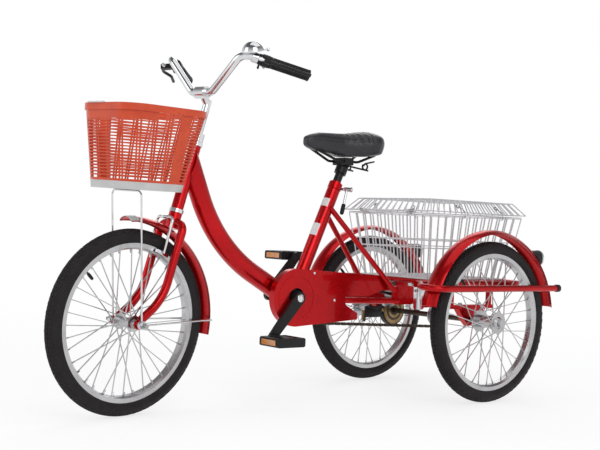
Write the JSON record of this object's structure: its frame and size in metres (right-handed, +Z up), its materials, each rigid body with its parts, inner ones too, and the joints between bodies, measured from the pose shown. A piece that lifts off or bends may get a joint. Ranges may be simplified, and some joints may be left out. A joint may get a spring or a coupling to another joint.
{
  "type": "adult tricycle",
  "caption": "Step-through adult tricycle with a front shopping basket, swept handlebar, chain drive and a lidded wire basket between the rear wheels.",
  "frame": {"origin": "on the ground under the middle of the tricycle's length and width", "axes": "+X forward, +Y to the rider's left, +Z up; the steering is turned 7.15 degrees to the left"},
  "size_m": [1.6474, 0.668, 1.0071],
  "materials": {
    "frame_red": "gloss metallic red",
    "chrome": "mirror chrome",
    "alloy": "polished alloy",
    "steel": "plated steel",
    "dark_steel": "oiled dark steel",
    "black_metal": "satin black",
    "white_wire": "white coated wire",
    "brass": "brushed",
    "tyre": "matte tread",
    "black_plastic": "satin",
    "grip_rubber": "matte",
    "basket_plastic": "satin orange-red",
    "grey_plastic": "satin whitish grey",
    "saddle_cover": "semi-gloss black",
    "red_lens": "clear red"
  },
  "bodies": {
    "frame": {"front_frame": "frame_red", "headset_cups": "chrome", "rear_stays": "frame_red", "frame_latches": "chrome", "carrier_frame": "frame_red", "guard_bars": "frame_red", "guard_end_caps": "black_plastic", "bearing_blocks": "frame_red", "chain_case": "frame_red", "drive_chain": "dark_steel", "rear_mudguard_left": "frame_red", "rear_mudguard_right": "frame_red", "lamp_housings": "black_plastic", "lamp_lenses": "red_lens", "seat_post": "black_metal", "seat_clamp": "chrome", "saddle_frame": "black_metal", "saddle": "saddle_cover", "rear_basket": "white_wire", "band_brake": "black_metal"},
    "steering": {"fork": "frame_red", "front_axle": "steel", "headset_locknut": "chrome", "stem": "chrome", "handlebar": "chrome", "grips": "grip_rubber", "brake_levers": "black_plastic", "bell": "chrome", "front_basket": "basket_plastic", "basket_base": "grey_plastic", "basket_rods": "chrome", "front_mudguard": "frame_red", "mudguard_stay": "chrome", "front_brake": "chrome"},
    "front_wheel": {"front_wheel": "alloy", "front_tyre": "tyre"},
    "driven_axle": {"rear_axle": "dark_steel", "sprocket": "steel", "brake_drum": "brass", "rear_wheel_left": "alloy", "rear_tyre_left": "tyre"},
    "right_wheel": {"rear_wheel_right": "alloy", "rear_tyre_right": "tyre"},
    "cranks": {"crankset": "black_metal"},
    "left_pedal": {"pedal_left": "black_plastic"},
    "right_pedal": {"pedal_right": "black_plastic"},
    "lid": {"basket_lid": "white_wire"}
  },
  "joints": [
    {"name": "steering_turn", "type": "hinge", "parent": "frame", "child": "steering", "pos_m": [0.4076, 0, 0.63827], "axis": [-0.2756, 0, 0.9613], "range_deg": [-52, 38]},
    {"name": "front_wheel_spin", "type": "hinge", "parent": "steering", "child": "front_wheel", "pos_m": [0.57735, 0.00697, 0.24788], "axis": [-0.1196, 0.9922, -0.0343], "continuous": true},
    {"name": "driven_axle_spin", "type": "hinge", "parent": "frame", "child": "driven_axle", "pos_m": [-0.54323, 0, 0.248], "axis": [0, 1, 0], "continuous": true},
    {"name": "right_wheel_spin", "type": "hinge", "parent": "frame", "child": "right_wheel", "pos_m": [-0.54323, -0.275, 0.248], "axis": [0, 1, 0], "continuous": true},
    {"name": "crank_spin", "type": "hinge", "parent": "frame", "child": "cranks", "pos_m": [0.04777, 0, 0.3115], "axis": [0, 1, 0], "continuous": true},
    {"name": "left_pedal_spin", "type": "hinge", "parent": "cranks", "child": "left_pedal", "pos_m": [0.14627, 0.125, 0.1951], "axis": [0, 1, 0], "continuous": true},
    {"name": "right_pedal_spin", "type": "hinge", "parent": "cranks", "child": "right_pedal", "pos_m": [-0.05073, -0.125, 0.4279], "axis": [0, 1, 0], "continuous": true},
    {"name": "lid_hinge", "type": "hinge", "parent": "frame", "child": "lid", "pos_m": [-0.35023, 0, 0.582], "axis": [0, 1, 0], "range_deg": [0, 90]}
  ]
}
